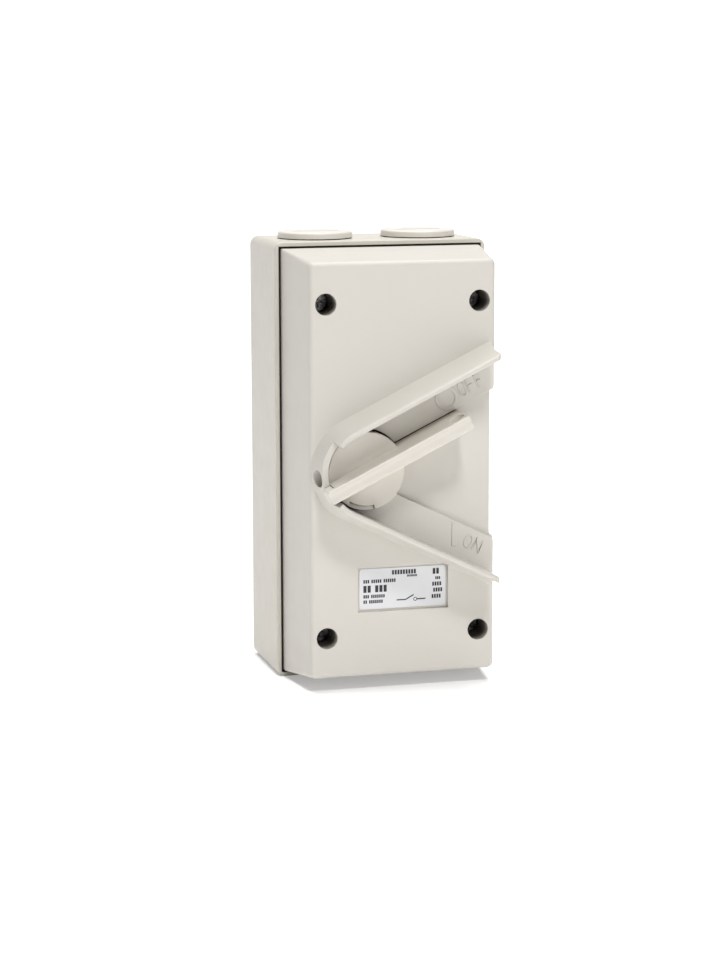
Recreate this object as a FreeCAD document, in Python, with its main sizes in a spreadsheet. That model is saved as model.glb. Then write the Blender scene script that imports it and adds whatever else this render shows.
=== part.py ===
"""Weatherproof rotary isolator switch for mounting on a wall, as a parametric assembly.

Frame: the wall is the plane Y = 0 and the switch stands out of it towards -Y, +Z is up and +X is to
the right of someone who faces the switch. The origin is the centre of the rear face. A "depth" is a
distance forward from the wall, so a point at depth d has Y = -d. All lengths are millimetres.
"""

import FreeCAD, Part

import math
import os
from types import SimpleNamespace

import Sketcher

DIMENSIONS = {
    # enclosure base
    "base_width": 82.0,
    "base_height": 165.0,
    "base_depth": 40.0,
    "base_corner": 3.2,
    "base_wall": 3.4,
    "back_wall": 3.0,
    "rim_width": 1.6,
    "rim_height": 4.0,
    "rim_edge": 0.5,
    # front cover, a drafted hood that stands inside the rim of the base
    "cover_width": 77.0,
    "cover_height": 160.2,
    "cover_back": 38.0,
    "cover_band": 41.6,
    "cover_front": 70.0,
    "cover_draft": 6.5,
    "cover_wall": 2.3,
    "cover_front_wall": 2.6,
    "cover_edge": 1.7,
    "cover_arris": 0.6,
    "cover_corner": 2.2,
    "gasket_height": 2.0,
    # screws that hold the cover
    "screw_x": 29.2,
    "screw_z": 61.8,
    "screw_well": 4.0,
    "screw_seat": 54.0,
    "screw_hole": 2.4,
    "screw_boss": 5.6,
    "post_radius": 5.4,
    "post_front": 40.8,
    "insert_radius": 3.0,
    "insert_length": 10.0,
    "insert_bore": 2.0,
    "insert_relief": 4.0,
    "cover_screw_radius": 1.95,
    "cover_screw_head": 3.5,
    "cover_screw_head_height": 2.8,
    "cover_screw_bite": 9.0,
    "screw_seal_radius": 3.7,
    "screw_seal_thickness": 0.8,
    # V-shaped guard round the handle
    "drum_x": -15.3,
    "drum_z": 1.0,
    "arm_angle": 26.0,
    "well_radius": 15.2,
    "guard_foot": 19.8,
    "guard_lip": 17.25,
    "guard_hollow": 30.0,
    "guard_crown": 1.1,
    "guard_front": 85.0,
    "guard_end": 33.1,
    "nose_front": 77.6,
    "nose_half_angle": 41.5,
    "sector_edge": 3.3,
    "sector_depth": 2.7,
    "sector_corner": 2.2,
    "mouth_inset": 34.2,
    "mouth_back": 57.0,
    "arm_round": 2.0,
    "arm_length": 66.0,
    "nose_hole": 3.2,
    "nose_hole_z": -1.1,
    "nose_hole_depth": 73.9,
    # well and bearing behind the handle
    "well_floor": 60.0,
    "well_wall": 2.5,
    "backing_wall": 2.6,
    "backing_half": 30.0,
    "hub_radius": 9.0,
    "hub_back": 55.0,
    "shaft_bore": 6.08,
    # operating handle
    "drum_radius": 14.45,
    "drum_back": 60.4,
    "drum_front": 75.0,
    "ledge_radius": 12.9,
    "ledge_depth": 1.1,
    "lever_half": 2.6,
    "lever_draft": 1.0,
    "lever_back": 68.2,
    "lever_front": 85.0,
    "lever_tail": 18.5,
    "lever_tip": 41.7,
    "tail_back": 78.0,
    "tail_slit": 0.4,
    "tail_slit_front": 83.1,
    "lever_corner": 1.1,
    "lever_edge": 0.36,
    "groove_edge": 0.3,
    "groove_radius": 2.7,
    "groove_depth": 0.75,
    "lever_hole": 3.25,
    "lever_hole_u": 37.3,
    "lever_hole_depth": 80.0,
    "shaft_radius": 6.0,
    "shaft_end": 50.0,
    "seal_depth": 57.6,
    "seal_groove": 4.45,
    "seal_section": 0.78,
    "clip_depth": 53.6,
    "clip_thickness": 0.9,
    "clip_groove": 5.0,
    # label
    "label_width": 33.4,
    "label_height": 15.2,
    "label_z": -44.2,
    "label_recess": 1.0,
    "label_thickness": 0.25,
    # conduit entries
    "entry_x": 20.3,
    "entry_depth": 20.0,
    "entry_radius": 11.75,
    "entry_boss": 14.2,
    "entry_length": 12.0,
    "plug_flange": 14.2,
    "plug_thickness": 2.35,
    "plug_gap": 0.35,
    "plug_stem": 11.7,
    "plug_stem_length": 9.0,
    "plug_stem_wall": 2.0,
    "plug_edge": 0.8,
    "plug_slot_length": 18.0,
    "plug_slot_width": 2.4,
    "plug_slot_depth": 1.1,
    # holes that fix the switch to the wall
    "fixing_x": 28.0,
    "fixing_z": 50.0,
    "fixing_radius": 2.6,
    "pilot_radius": 1.5,
    "pilot_floor": 1.2,
    # switch stack behind the handle
    "stack_width": 38.4,
    "stack_height": 46.0,
    "carrier_back": 6.0,
    "carrier_thickness": 3.0,
    "carrier_height": 64.0,
    "carrier_stand": 3.4,
    "wafer_thickness": 10.0,
    "wafer_floor": 1.5,
    "chamber_radius": 17.2,
    "shaft_hole": 6.3,
    "shaft_side": 8.0,
    "rotor_radius": 12.4,
    "rotor_lift": 0.3,
    "rotor_height": 4.8,
    "blade_thickness": 1.2,
    "blade_reach": 16.8,
    "blade_width": 6.0,
    "strip_thickness": 2.0,
    "strip_width": 8.0,
    "strip_end": 35.0,
    "strip_tip": 13.2,
    "strip_link": 18.0,
    "strip_link_end": 22.0,
    "strip_slot_clearance": 0.1,
    "terminal_z": 29.5,
    "terminal_hole": 2.0,
    "clamp_half": 3.8,
    "clamp_thickness": 1.2,
    "pole_pitch": 14.0,
    "switch_travel": 52.0,
    "stack_screw_x": 16.6,
    "stack_screw_z": 13.5,
    "stack_hole": 1.65,
    "carrier_screw_x": 7.0,
    "carrier_screw_z": 28.0,
    # snap-action mechanism
    "mechanism_height": 7.0,
    "cam_flat": 8.0,
    "cam_radius": 9.3,
    "detent_gap": 0.3,
    "detent_thickness": 0.6,
    "lid_thickness": 2.0,
    "tongue_width": 4.0,
    "tongue_length": 10.4,
    "tongue_front": 52.6,
    # neutral and earth bars
    "bar_x": 24.0,
    "bar_side": 8.0,
    "bar_length": 34.0,
    "bar_back": 12.0,
    "bar_gap": 4.0,
    "bar_pitch": 8.0,
    "wire_hole": 2.1,
    "bar_stand_half": 6.0,
}


class Size:
    """A number together with the sheet expression that gives it, so that both stay in step."""

    def __init__(self, value, text):
        self.value = float(value)
        self.text = text

    def __neg__(self):
        return Size(-self.value, f"-({self.text})")

    def __add__(self, other):
        other = as_size(other)
        return Size(self.value + other.value, f"({self.text} + {other.text})")

    def __sub__(self, other):
        other = as_size(other)
        return Size(self.value - other.value, f"({self.text} - {other.text})")

    def __mul__(self, other):
        other = as_size(other)
        return Size(self.value * other.value, f"({self.text} * {other.text})")

    def __truediv__(self, other):
        other = as_size(other)
        return Size(self.value / other.value, f"({self.text} / {other.text})")

    def __radd__(self, other):
        return as_size(other) + self

    def __rsub__(self, other):
        return as_size(other) - self

    def __rmul__(self, other):
        return as_size(other) * self


def as_size(number):
    return number if isinstance(number, Size) else Size(number, f"({float(number)})")


def sine(angle):
    return Size(math.sin(math.radians(angle.value)), f"sin({angle.text})")


def cosine(angle):
    return Size(math.cos(math.radians(angle.value)), f"cos({angle.text})")


doc = FreeCAD.newDocument("RotaryIsolator")
Vector = FreeCAD.Vector
Rotation = FreeCAD.Rotation
Placement = FreeCAD.Placement


def make_sheet():
    """The driving dimensions, one cell and one alias each."""
    sheet = doc.addObject("Spreadsheet::Sheet", "Dimensions")
    for row, (alias, value) in enumerate(DIMENSIONS.items(), start=1):
        sheet.set(f"A{row}", str(value))
        sheet.setAlias(f"A{row}", alias)
    doc.recompute()
    sizes = {alias: Size(sheet.get(alias), f"Dimensions.{alias}") for alias in DIMENSIONS}
    return SimpleNamespace(**sizes)


dim = make_sheet()
subparts = []


def bind(item, path, size):
    """Tie a property of a document object to the sheet."""
    item.setExpression(path, as_size(size).text)


def place(item, x=0, y=0, z=0, rotation=None):
    """Set where an object stands, with its coordinates tied to the sheet."""
    x, y, z = as_size(x), as_size(y), as_size(z)
    item.Placement = Placement(Vector(x.value, y.value, z.value), rotation or Rotation())
    for axis, size in (("x", x), ("y", y), ("z", z)):
        bind(item, f"Placement.Base.{axis}", size)


def keep(item, name):
    """Name a finished sub-part and put it on the list that is exported."""
    item.Label = name
    subparts.append(item)
    return item


# ---------------------------------------------------------------- sketches and features in bodies

FORWARDS = Rotation(Vector(1, 0, 0), 90)  # turns +Z into -Y, out of the wall


def new_body(name):
    return doc.addObject("PartDesign::Body", name)


def new_sketch(body, name, offset=0, plane="XZ_Plane", turn=None):
    """A sketch parallel to one of the body's own planes. On XZ_Plane the offset is a depth."""
    offset = as_size(offset)
    support = next(feature for feature in body.Origin.OriginFeatures if feature.Role == plane)
    item = body.newObject("Sketcher::SketchObject", name)
    item.AttachmentSupport = (support, "")
    item.MapMode = "FlatFace"
    item.AttachmentOffset = Placement(Vector(0, 0, offset.value), turn or Rotation())
    bind(item, "AttachmentOffset.Base.z", offset)
    return item


def fix_point(item, edge, end, x, y):
    """Dimension one point of a sketch from the sketch's origin."""
    for kind, size in (("DistanceX", x), ("DistanceY", y)):
        number = item.addConstraint(Sketcher.Constraint(kind, -1, 1, edge, end, size.value))
        bind(item, f"Constraints[{number}]", size)


def outline(item, corners, arcs=None):
    """A closed outline through the corners, which are pairs of sizes.

    Its sides are straight, apart from those in arcs, which gives a side's number its radius and its
    bend: 1 bulges to the left of the way that the outline runs, and -1 to the right.
    """
    arcs = arcs or {}
    corners = [(as_size(x), as_size(y)) for x, y in corners]
    points = [Vector(x.value, y.value, 0) for x, y in corners]
    count = len(corners)
    sides = []
    for index, start in enumerate(points):
        finish = points[(index + 1) % count]
        if index not in arcs:
            sides.append((item.addGeometry(Part.LineSegment(start, finish), False), 1, 2))
            continue
        radius, bend = arcs[index]
        chord = finish - start
        rise = radius.value - math.sqrt(radius.value**2 - chord.Length**2 / 4)
        middle = (start + finish) / 2 + Vector(-chord.y, chord.x, 0).normalize() * bend * rise
        # a sketch counts an arc's ends anticlockwise, so one that bulges to the left is drawn backwards
        if bend > 0:
            edge = item.addGeometry(Part.Arc(finish, middle, start), False)
            sides.append((edge, 2, 1))
        else:
            edge = item.addGeometry(Part.Arc(start, middle, finish), False)
            sides.append((edge, 1, 2))
        number = item.addConstraint(Sketcher.Constraint("Radius", edge, radius.value))
        bind(item, f"Constraints[{number}]", radius)
    for index, (edge, first, last) in enumerate(sides):
        following = sides[(index + 1) % count]
        item.addConstraint(Sketcher.Constraint("Coincident", edge, last, following[0], following[1]))
        fix_point(item, edge, first, *corners[index])
    return item


def rectangle(item, left, right, bottom, top):
    return outline(item, [(left, bottom), (right, bottom), (right, top), (left, top)])


def centred(item, width, height):
    return rectangle(item, -width / 2, width / 2, -height / 2, height / 2)


def rounded(item, width, height, radius):
    """A rectangle about the origin with rounded corners."""
    x, y = as_size(width) / 2, as_size(height) / 2
    radius = as_size(radius)
    near_x, near_y = x - radius, y - radius
    ends = [
        (-near_x, -y), (near_x, -y), (x, -near_y), (x, near_y),
        (near_x, y), (-near_x, y), (-x, near_y), (-x, -near_y),
    ]
    return outline(item, ends, {side: (radius, -1) for side in (1, 3, 5, 7)})


def circle(item, radius, x=0, y=0):
    radius, x, y = as_size(radius), as_size(x), as_size(y)
    round_edge = Part.Circle(Vector(x.value, y.value, 0), Vector(0, 0, 1), radius.value)
    edge = item.addGeometry(round_edge, False)
    number = item.addConstraint(Sketcher.Constraint("Radius", edge, radius.value))
    bind(item, f"Constraints[{number}]", radius)
    fix_point(item, edge, 3, x, y)
    return item


def feature(body, kind, profile, length, reverse=False, taper=None, midplane=False):
    """A Pad or Pocket of a sketch. A Pad grows forwards and a Pocket cuts back to the wall."""
    item = body.newObject(f"PartDesign::{kind}", f"{kind}_{profile.Name}")
    item.Profile = profile
    item.Reversed = reverse
    item.Midplane = midplane
    bind(item, "Length", length)
    if taper is not None:
        bind(item, "TaperAngle", taper)
    doc.recompute()
    return item


def pad(body, profile, length, **options):
    return feature(body, "Pad", profile, length, **options)


def pocket(body, profile, length, **options):
    return feature(body, "Pocket", profile, length, **options)


def edges(shape, test):
    """Names of the edges whose middle point and direction pass the test."""
    names = []
    for number, edge in enumerate(shape.Edges, start=1):
        middle = edge.valueAt((edge.FirstParameter + edge.LastParameter) / 2)
        span = edge.Vertexes[-1].Point - edge.Vertexes[0].Point
        if test(middle, span, edge):
            names.append(f"Edge{number}")
    return names


def fillet(body, name, test, radius):
    """Round the edges of a body's tip that pass the test."""
    tip = body.Tip
    item = body.newObject("PartDesign::Fillet", name)
    item.Base = (tip, edges(tip.Shape, test))
    bind(item, "Radius", radius)
    doc.recompute()
    return item


# ---------------------------------------------------------------- primitives and booleans


def box(name, left, right, back, front, bottom, top):
    """A block between two X, two depths and two Z."""
    left, right, back, front, bottom, top = map(as_size, (left, right, back, front, bottom, top))
    item = doc.addObject("Part::Box", name)
    bind(item, "Length", right - left)
    bind(item, "Width", front - back)
    bind(item, "Height", top - bottom)
    place(item, left, -front, bottom)
    return item


def rod(name, radius, x, z, back, front):
    """A cylinder that points forwards, between two depths."""
    back, front = as_size(back), as_size(front)
    item = doc.addObject("Part::Cylinder", name)
    bind(item, "Radius", radius)
    bind(item, "Height", front - back)
    place(item, x, -back, z, FORWARDS)
    return item


def upright(name, radius, x, depth, bottom, top):
    """A cylinder that points up, between two Z."""
    bottom, top = as_size(bottom), as_size(top)
    item = doc.addObject("Part::Cylinder", name)
    bind(item, "Radius", radius)
    bind(item, "Height", top - bottom)
    place(item, x, -as_size(depth), bottom)
    return item


def crossbar(name, radius, depth, z, left, right):
    """A cylinder that points to the right, between two X."""
    left, right = as_size(left), as_size(right)
    item = doc.addObject("Part::Cylinder", name)
    bind(item, "Radius", radius)
    bind(item, "Height", right - left)
    place(item, left, -as_size(depth), z, Rotation(Vector(0, 1, 0), 90))
    return item


def ring(name, major, minor, x, y, z, rotation=None):
    item = doc.addObject("Part::Torus", name)
    bind(item, "Radius1", major)
    bind(item, "Radius2", minor)
    place(item, x, y, z, rotation)
    return item


def fuse(name, shapes):
    item = doc.addObject("Part::MultiFuse", name)
    item.Shapes = shapes
    item.Refine = True
    return item


def cut(name, base, tools):
    item = doc.addObject("Part::Cut", name)
    item.Base = base
    item.Tool = tools[0] if len(tools) == 1 else fuse(f"{name}_tools", tools)
    item.Refine = True
    return item


def group(name, shapes):
    """Separate solids of one kind, kept together as one sub-part."""
    item = doc.addObject("Part::Compound", name)
    item.Links = shapes
    return keep(item, name)


def corners(x, z):
    """The four corners of a rectangle about the centre."""
    return [(side * x, level * z) for level in (1, -1) for side in (-1, 1)]


def pan_screw(name, x, z, seat, head_radius, head_height, shank_radius, tip, recess=True):
    """A screw driven from the front: its head rests on the seat and its shank ends at the tip."""
    head = rod(f"{name}_head", head_radius, x, z, seat, seat + head_height)
    shank = rod(f"{name}_shank", shank_radius, x, z, tip, seat)
    blank = fuse(f"{name}_blank", [head, shank])
    if not recess:
        return blank
    arm = head_radius * 0.62
    half = head_radius * 0.14
    bottom, top = seat + head_height * 0.35, seat + head_height + 0.1
    across = box(f"{name}_across", x - arm, x + arm, bottom, top, z - half, z + half)
    upwards = box(f"{name}_upwards", x - half, x + half, bottom, top, z - arm, z + arm)
    return cut(name, blank, [across, upwards])


# ---------------------------------------------------------------- enclosure


def make_base():
    """A deep tray with a rim round the cover, posts for its screws and four conduit entries."""
    body = new_body("base_body")
    half_width, half_height = dim.base_width / 2, dim.base_height / 2
    ledge = dim.base_depth - dim.rim_height

    pad(body, centred(new_sketch(body, "base_outline"), dim.base_width, dim.base_height), dim.base_depth)
    fillet(body, "base_corners", lambda middle, span, edge: abs(span.y) > 1, dim.base_corner)

    rim_hole = new_sketch(body, "rim_hole", dim.base_depth)
    rim_inset = dim.rim_width * 2
    centred(rim_hole, dim.base_width - rim_inset, dim.base_height - rim_inset)
    pocket(body, rim_hole, dim.rim_height)
    cavity = new_sketch(body, "base_cavity", ledge)
    wall_inset = dim.base_wall * 2
    centred(cavity, dim.base_width - wall_inset, dim.base_height - wall_inset)
    pocket(body, cavity, ledge - dim.back_wall)

    posts = new_sketch(body, "cover_posts", dim.back_wall)
    for x, z in corners(dim.screw_x, dim.screw_z):
        circle(posts, dim.post_radius, x, z)
    pad(body, posts, dim.post_front - dim.back_wall)
    inserts = new_sketch(body, "insert_holes", dim.post_front)
    for x, z in corners(dim.screw_x, dim.screw_z):
        circle(inserts, dim.insert_radius, x, z)
    pocket(body, inserts, dim.insert_length + dim.insert_relief)

    for name, level, inwards in (("top", half_height, True), ("bottom", -half_height, False)):
        bosses = new_sketch(body, f"{name}_entry_bosses", level, "XY_Plane")
        holes = new_sketch(body, f"{name}_entry_holes", level, "XY_Plane")
        for side in (-1, 1):
            circle(bosses, dim.entry_boss, side * dim.entry_x, -dim.entry_depth)
            circle(holes, dim.entry_radius, side * dim.entry_x, -dim.entry_depth)
        pad(body, bosses, dim.entry_length, reverse=inwards)
        pocket(body, holes, dim.entry_length + 1, reverse=not inwards)

    stands = new_sketch(body, "carrier_stands", dim.back_wall)
    for x, z in corners(dim.carrier_screw_x, dim.carrier_screw_z):
        circle(stands, dim.carrier_stand, dim.drum_x + x, dim.drum_z + z)
    pad(body, stands, dim.carrier_back - dim.back_wall)
    pilots = new_sketch(body, "carrier_pilot_holes", dim.carrier_back)
    for x, z in corners(dim.carrier_screw_x, dim.carrier_screw_z):
        circle(pilots, dim.pilot_radius, dim.drum_x + x, dim.drum_z + z)
    for side in (-1, 1):
        circle(pilots, dim.pilot_radius, dim.bar_x, side * bar_screw_z())
    pocket(body, pilots, dim.carrier_back - dim.pilot_floor)

    fixings = new_sketch(body, "wall_fixing_holes", dim.back_wall)
    for x, z in corners(dim.fixing_x, dim.fixing_z):
        circle(fixings, dim.fixing_radius, x, z)
    pocket(body, fixings, dim.back_wall)

    def on_rim_edge(middle, span, edge):
        outermost = abs(middle.x) > half_width.value - 0.1 or abs(middle.z) > half_height.value - 0.1
        in_front = abs(middle.y + dim.base_depth.value) < 0.01
        return in_front and (outermost or edge.Curve.TypeId == "Part::GeomCircle")

    fillet(body, "rim_edges", on_rim_edge, dim.rim_edge)
    return keep(body, "base_enclosure")


def cover_shell():
    """The cover's hood without its guard: a drafted box, open at the back."""
    body = new_body("cover_shell")
    skirt = new_sketch(body, "cover_skirt", dim.cover_back)
    rounded(skirt, dim.cover_width, dim.cover_height, dim.cover_arris)
    pad(body, skirt, dim.cover_band - dim.cover_back)
    narrowing = 2 * (dim.cover_front - dim.cover_band) * sine(dim.cover_draft) / cosine(dim.cover_draft)
    hood = body.newObject("PartDesign::AdditiveLoft", "cover_hood")
    hood_back = new_sketch(body, "hood_back", dim.cover_band)
    hood.Profile = rounded(hood_back, dim.cover_width, dim.cover_height, dim.cover_arris)
    face = new_sketch(body, "hood_front", dim.cover_front)
    rounded(face, dim.cover_width - narrowing, dim.cover_height - narrowing, dim.cover_corner)
    hood.Sections = [face]
    hood.Ruled = True
    doc.recompute()
    front = -dim.cover_front.value

    def round_face(middle, span, edge):
        return abs(middle.y - front) < 0.01

    fillet(body, "cover_face_edge", round_face, dim.cover_edge)
    inset = dim.cover_wall * 2
    cavity = new_sketch(body, "cover_cavity", dim.cover_back)
    centred(cavity, dim.cover_width - inset, dim.cover_height - inset)
    depth = dim.cover_front - dim.cover_front_wall - dim.cover_back
    pocket(body, cavity, depth, reverse=True, taper=-dim.cover_draft)
    return body


def guard_section(item, across, upwards):
    """Section of the guard's wall: distance from the drum's axis across, depth upwards.

    The inner side is straight and the outer side sweeps out to a wide foot in a hollow curve. The
    two signs say which way each of them runs in the sketch.
    """
    foot = dim.cover_front - 0.9
    lip = dim.guard_front - 0.7
    points = [
        (dim.well_radius, foot),
        (dim.guard_foot, foot),
        (dim.guard_foot, dim.cover_front),
        (dim.guard_lip, lip),
        (dim.well_radius, lip),
    ]
    turn = across * upwards
    arcs = {2: (dim.guard_hollow, turn), 3: (dim.guard_crown, -turn)}
    return outline(item, [(x * across, y * upwards) for x, y in points], arcs)


def make_guard():
    """The V-shaped wall, in its own frame about the drum's axis."""
    body = new_body("guard")
    section = guard_section(new_sketch(body, "nose_section", 0, "XY_Plane"), -1, -1)
    nose = body.newObject("PartDesign::Revolution", "guard_nose")
    nose.Profile = section
    nose.ReferenceAxis = (section, ["V_Axis"])
    nose.Midplane = True
    bind(nose, "Angle", 180 - 2 * dim.arm_angle)
    doc.recompute()

    for name, sign in (("upper", 1), ("lower", -1)):
        along = Rotation(Vector(0, 0, 1), sign * dim.arm_angle.value + 90)
        turn = along.multiply(Rotation(Vector(1, 0, 0), 90))
        section = guard_section(new_sketch(body, f"{name}_section", turn=turn), sign, 1)
        pad(body, section, dim.arm_length)

    end = dim.guard_end - dim.drum_x
    front, bend = dim.guard_front, dim.arm_round
    beyond = end + dim.arm_length
    trim = new_sketch(body, "arm_ends", 0, "XY_Plane")
    outline(
        trim,
        [
            (end - bend, -front - 1),
            (end - bend, -front),
            (end, -front + bend),
            (end, -dim.well_floor),
            (beyond, -dim.well_floor),
            (beyond, -front - 1),
        ],
        {1: (bend, -1)},
    )
    pocket(body, trim, dim.base_height, midplane=True)
    step = new_sketch(body, "nose_step", dim.guard_front + 1)
    left = dim.guard_foot + 10
    reach = left * sine(dim.nose_half_angle) / cosine(dim.nose_half_angle)
    outline(step, [(0, 0), (-left, reach), (-left, -reach)])
    pocket(body, step, dim.guard_front + 1 - dim.nose_front)
    place(body, dim.drum_x, 0, dim.drum_z)
    return body


def sector_recess():
    """Cutter for the sunk sector that the lever sweeps, open at the cover's right side.

    The two raised faces beside it keep rounded corners where they meet that side.
    """
    body = new_body("sector_recess")
    tangent = sine(dim.arm_angle) / cosine(dim.arm_angle)
    lift = dim.sector_edge / cosine(dim.arm_angle)
    draft = sine(dim.cover_draft) / cosine(dim.cover_draft)
    side = dim.cover_width / 2 - (dim.cover_front - dim.cover_band) * draft - dim.drum_x
    level = side * tangent + lift
    half_turn = (90 - dim.arm_angle) / 2
    run = dim.sector_corner * sine(half_turn) / cosine(half_turn)
    start_x, start_z = side - run * cosine(dim.arm_angle), level - run * sine(dim.arm_angle)
    reach = dim.cover_width
    wedge = new_sketch(body, "sector_outline", dim.cover_front - dim.sector_depth)
    outline(
        wedge,
        [
            (-dim.sector_edge / sine(dim.arm_angle), 0),
            (start_x, -start_z),
            (side, -level - run),
            (reach, -level - run),
            (reach, level + run),
            (side, level + run),
            (start_x, start_z),
        ],
        {1: (dim.sector_corner, 1), 5: (dim.sector_corner, 1)},
    )
    pad(body, wedge, dim.sector_depth + 1)

    inset = dim.mouth_inset - dim.drum_x
    half = inset * tangent + lift
    mouth = rectangle(new_sketch(body, "sector_mouth", dim.mouth_back), inset, reach, -half, half)
    pad(body, mouth, dim.cover_front - dim.mouth_back + 1)
    place(body, dim.drum_x, 0, dim.drum_z)
    return body


def make_cover():
    """The hood with its guard, handle well, screw wells and label recess."""
    x, z = dim.drum_x, dim.drum_z
    front = dim.cover_front
    inside = front - dim.cover_front_wall
    well_back = dim.well_floor - dim.well_wall
    cup = rod("well_cup", dim.well_radius + 2.4, x, z, well_back, front - 0.5)
    hub = rod("well_hub", dim.hub_radius, x, z, dim.hub_back, well_back + 0.5)
    wall, half = dim.backing_wall, dim.backing_half
    backing = box(
        "sector_backing", x, dim.cover_width / 2 - 5, inside - wall, inside + 0.2, z - half, z + half
    )
    mouth = dim.mouth_inset
    side = box(
        "mouth_backing", mouth - 3, mouth + 0.8, dim.mouth_back - wall, inside, z - half - 1, z + half + 1
    )
    bosses = [
        rod(f"screw_boss_{number}", dim.screw_boss, bx, bz, dim.post_front + 0.2, front - 0.5)
        for number, (bx, bz) in enumerate(corners(dim.screw_x, dim.screw_z), start=1)
    ]
    solid = fuse("cover_solid", [cover_shell(), make_guard(), cup, hub, backing, side, *bosses])

    tools = [
        sector_recess(),
        rod("handle_well", dim.well_radius - 0.05, x, z, dim.well_floor, front + 0.5),
        rod("handle_bore", dim.shaft_bore, x, z, dim.hub_back - 1, dim.well_floor + 1),
        crossbar("nose_hole", dim.nose_hole, dim.nose_hole_depth, dim.nose_hole_z, x - 25, x - 10),
    ]
    for number, (bx, bz) in enumerate(corners(dim.screw_x, dim.screw_z), start=1):
        tools.append(rod(f"screw_well_{number}", dim.screw_well, bx, bz, dim.screw_seat, front + 1))
        hole_back, hole_front = dim.post_front - 1, dim.screw_seat + 1
        tools.append(rod(f"screw_hole_{number}", dim.screw_hole, bx, bz, hole_back, hole_front))
    width, height = dim.label_width / 2 + 0.7, dim.label_height / 2 + 0.9
    low, high = dim.label_z - height, dim.label_z + height
    tools.append(box("label_pocket", -width, width, front - dim.label_recess, front + 1, low, high))
    return keep(cut("front_cover", solid, tools), "front_cover")


def make_gasket():
    """A square ring squeezed between the ledge of the base and the cover's skirt."""
    body = new_body("gasket_body")
    back = dim.base_depth - dim.rim_height
    outer, inner = dim.rim_width * 2, dim.base_wall * 2
    loop = new_sketch(body, "gasket_outline", back)
    centred(loop, dim.base_width - outer, dim.base_height - outer)
    centred(loop, dim.base_width - inner, dim.base_height - inner)
    pad(body, loop, dim.gasket_height)
    return keep(body, "cover_gasket")


def make_cover_screws():
    """Four screws, each with a sealing washer under its head and a brass insert for its thread."""
    screws, seals, inserts = [], [], []
    back, front = dim.post_front - dim.insert_length, dim.post_front
    seat, head_seat = dim.screw_seat, dim.screw_seat + dim.screw_seal_thickness
    for number, (x, z) in enumerate(corners(dim.screw_x, dim.screw_z), start=1):
        screws.append(pan_screw(
            f"cover_screw_{number}", x, z, head_seat, dim.cover_screw_head, dim.cover_screw_head_height,
            dim.cover_screw_radius, dim.post_front - dim.cover_screw_bite,
        ))
        blank = rod(f"seal_blank_{number}", dim.screw_seal_radius, x, z, seat, head_seat)
        hole = rod(f"seal_hole_{number}", dim.cover_screw_radius + 0.1, x, z, seat, head_seat)
        seals.append(cut(f"seal_{number}", blank, [hole]))
        sleeve = rod(f"insert_blank_{number}", dim.insert_radius, x, z, back, front)
        bore = rod(f"insert_bore_{number}", dim.insert_bore, x, z, back, front)
        inserts.append(cut(f"insert_{number}", sleeve, [bore]))
    group("cover_screws", screws)
    group("cover_screw_seals", seals)
    group("cover_screw_inserts", inserts)


def make_plug(name, x):
    """A blanking plug: a flange with a coin slot over a hollow threaded stem."""
    body = new_body(f"{name}_body")
    seat = dim.base_height / 2 + dim.plug_gap
    flange = circle(new_sketch(body, f"{name}_flange", seat, "XY_Plane"), dim.plug_flange)
    pad(body, flange, dim.plug_thickness)
    top = (seat + dim.plug_thickness).value
    fillet(body, f"{name}_edge", lambda middle, span, edge: abs(middle.z - top) < 0.01, dim.plug_edge)
    stem = circle(new_sketch(body, f"{name}_stem", seat, "XY_Plane"), dim.plug_stem)
    pad(body, stem, dim.plug_stem_length, reverse=True)
    hollow = new_sketch(body, f"{name}_hollow", seat - dim.plug_stem_length, "XY_Plane")
    circle(hollow, dim.plug_stem - dim.plug_stem_wall)
    pocket(body, hollow, dim.plug_stem_length - 0.5, reverse=True)
    slot = new_sketch(body, f"{name}_slot", seat + dim.plug_thickness, "XY_Plane")
    pocket(body, centred(slot, dim.plug_slot_length, dim.plug_slot_width), dim.plug_slot_depth)
    place(body, x, -dim.entry_depth, 0)
    return keep(body, name)


def make_plugs():
    make_plug("conduit_plug_left", -dim.entry_x)
    make_plug("conduit_plug_right", dim.entry_x)
    level = dim.base_height / 2
    seals = []
    for side, x in (("left", -dim.entry_x), ("right", dim.entry_x)):
        blank = upright(f"plug_seal_{side}_blank", 13.3, x, dim.entry_depth, level, level + dim.plug_gap)
        hole = upright(f"plug_seal_{side}_hole", 11.8, x, dim.entry_depth, level, level + dim.plug_gap)
        seals.append(cut(f"plug_seal_{side}", blank, [hole]))
    group("conduit_plug_seals", seals)


def make_label():
    """A thin rating plate stuck in its recess."""
    body = new_body("label_body")
    back = dim.cover_front - dim.label_recess
    plate = new_sketch(body, "label_outline", back)
    half_width, half_height = dim.label_width / 2, dim.label_height / 2
    rectangle(plate, -half_width, half_width, dim.label_z - half_height, dim.label_z + half_height)
    pad(body, plate, dim.label_thickness)
    fillet(body, "label_corners", lambda middle, span, edge: abs(span.y) > 0.1, 1.3)
    return keep(body, "rating_label")


# ---------------------------------------------------------------- handle


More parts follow.
